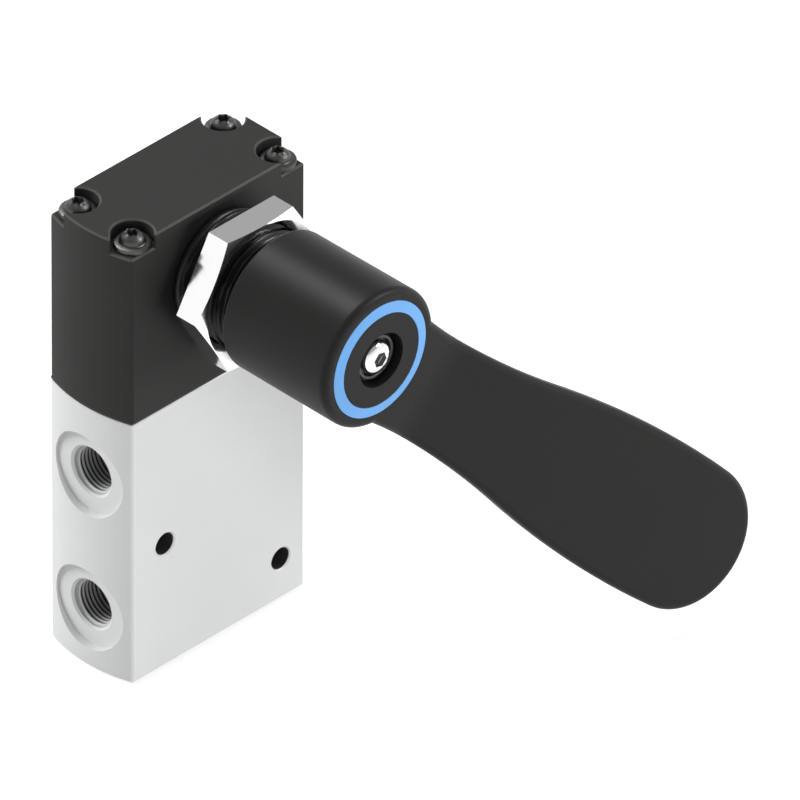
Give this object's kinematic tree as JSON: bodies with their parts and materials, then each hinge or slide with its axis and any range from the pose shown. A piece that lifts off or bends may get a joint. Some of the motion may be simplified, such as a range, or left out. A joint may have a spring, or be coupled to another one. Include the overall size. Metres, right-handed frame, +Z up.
{
  "type": "hand lever air valve",
  "caption": "Compact pneumatic valve with a bright metal body, a black lever head on a threaded neck with a hex nut, and a curved paddle lever with a blue ring.",
  "frame": {"origin": "centre of the valve body's bottom face", "axes": "+Z up through valve body and lever head; -Y out of the face that carries the neck, nut and lever; X from port side to port side"},
  "size_m": [0.1008, 0.0824, 0.0976],
  "materials": {
    "natural_aluminium": "satin, clear anodised",
    "black_housing": "satin moulded",
    "black_neck": "satin black",
    "black_lever": "satin moulded",
    "bright_nut": "bright plated",
    "dark_steel": "blackened",
    "bright_steel": "bright plated",
    "machined_steel": "turned",
    "spring_steel": "drawn wire",
    "bush_bronze": "sintered",
    "spool_aluminium": "polished",
    "blue_plastic": "smooth",
    "white_acetal": "smooth",
    "seal_rubber": "soft",
    "gasket_rubber": "sheet"
  },
  "bodies": {
    "valve": {"valve_body": "natural_aluminium", "spool_seals": "seal_rubber", "seal_spacers": "white_acetal", "guide_bush": "white_acetal", "housing_gasket": "gasket_rubber", "actuator_housing": "black_housing", "housing_screws": "dark_steel", "panel_neck": "black_neck", "panel_nut": "bright_nut", "spindle_bushes": "bush_bronze", "spindle_seal": "seal_rubber", "rear_bush": "bush_bronze", "detent_ball": "bright_steel", "detent_spring": "spring_steel", "spool_spring": "spring_steel", "tappet_spring": "spring_steel"},
    "lever": {"lever_handle": "black_lever", "indicator_ring": "blue_plastic", "lever_washer": "bright_steel", "lever_screw": "bright_steel", "spindle": "machined_steel", "cam": "machined_steel", "detent_disc": "machined_steel", "spindle_clip": "spring_steel"},
    "plunger": {"spool": "spool_aluminium", "tappet": "machined_steel"}
  },
  "joints": [
    {"name": "lever_turn", "type": "hinge", "parent": "valve", "child": "lever", "pos_m": [0, -0.03, 0.0828], "axis": [0, 1, 0], "range_deg": [0, 90]},
    {"name": "spool_slide", "type": "slide", "parent": "valve", "child": "plunger", "axis": [0, 0, -1], "range_m": [0, 0.004], "deforming": ["spool_spring", "tappet_spring"]}
  ],
  "couplings": [
    {"joint": "spool_slide", "follows": "lever_turn", "m_per_rad": 0.0025465}
  ]
}
